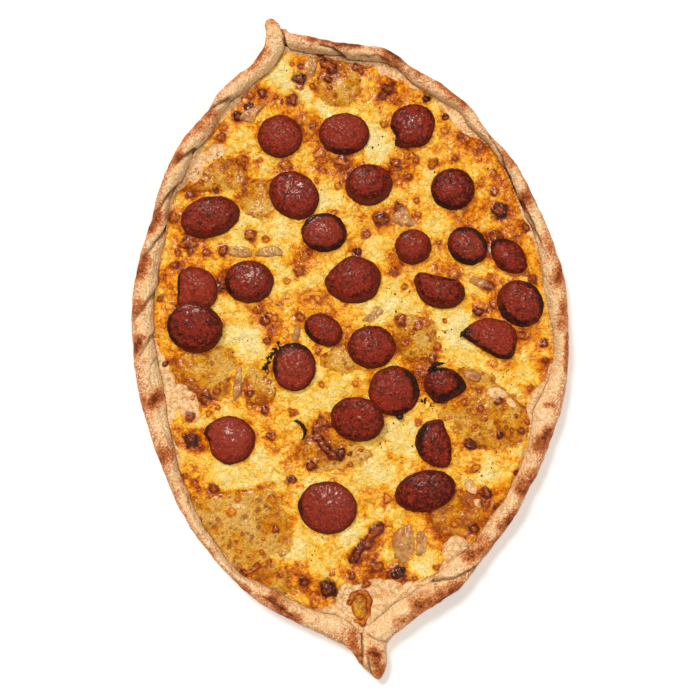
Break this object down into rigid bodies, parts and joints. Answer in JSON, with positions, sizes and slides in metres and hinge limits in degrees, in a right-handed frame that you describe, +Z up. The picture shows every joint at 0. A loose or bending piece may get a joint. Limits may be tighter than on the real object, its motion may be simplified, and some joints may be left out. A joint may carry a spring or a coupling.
{
  "type": "turkish pide",
  "caption": "Boat-shaped flat bread with a rolled, folded rim pinched to points, filled with browned melted cheese, sausage slices, potato and onion.",
  "frame": {"origin": "centre of the bounding box in plan, on the flat underside", "axes": "+Z up, +Y along the bread from the tail to the horn, +X across it to the right as seen from above"},
  "size_m": [0.2182, 0.3296, 0.0153],
  "materials": {
    "baked_dough": "dry baked crust, golden with brown scorch marks",
    "melted_cheese": "melted and browned, satin with oily gloss",
    "sausage_meat": "cured meat, dark red-brown, slightly oily",
    "potato_flesh": "thin roasted slices, tan, satin",
    "onion_flesh": "translucent cooked strips"
  },
  "bodies": {
    "root": {"dough": "baked_dough", "cheese": "melted_cheese", "sausage_01": "sausage_meat", "sausage_02": "sausage_meat", "sausage_03": "sausage_meat", "sausage_04": "sausage_meat", "sausage_05": "sausage_meat", "sausage_06": "sausage_meat", "sausage_07": "sausage_meat", "sausage_08": "sausage_meat", "sausage_09": "sausage_meat", "sausage_10": "sausage_meat", "sausage_11": "sausage_meat", "sausage_12": "sausage_meat", "sausage_13": "sausage_meat", "sausage_14": "sausage_meat", "sausage_15": "sausage_meat", "sausage_16": "sausage_meat", "sausage_17": "sausage_meat", "sausage_18": "sausage_meat", "sausage_19": "sausage_meat", "sausage_20": "sausage_meat", "sausage_21": "sausage_meat", "sausage_22": "sausage_meat", "sausage_23": "sausage_meat", "sausage_24": "sausage_meat", "sausage_25": "sausage_meat", "sausage_26": "sausage_meat", "sausage_27": "sausage_meat", "sausage_28": "sausage_meat", "potato_01": "potato_flesh", "potato_02": "potato_flesh", "potato_03": "potato_flesh", "potato_04": "potato_flesh", "potato_05": "potato_flesh", "potato_06": "potato_flesh", "potato_07": "potato_flesh", "potato_08": "potato_flesh", "potato_09": "potato_flesh", "potato_10": "potato_flesh", "potato_11": "potato_flesh", "potato_12": "potato_flesh", "potato_13": "potato_flesh", "onion_01": "onion_flesh", "onion_02": "onion_flesh", "onion_03": "onion_flesh", "onion_04": "onion_flesh", "onion_05": "onion_flesh", "onion_06": "onion_flesh", "onion_07": "onion_flesh", "onion_08": "onion_flesh", "onion_09": "onion_flesh", "onion_10": "onion_flesh", "onion_11": "onion_flesh", "onion_12": "onion_flesh"}
  },
  "joints": []
}
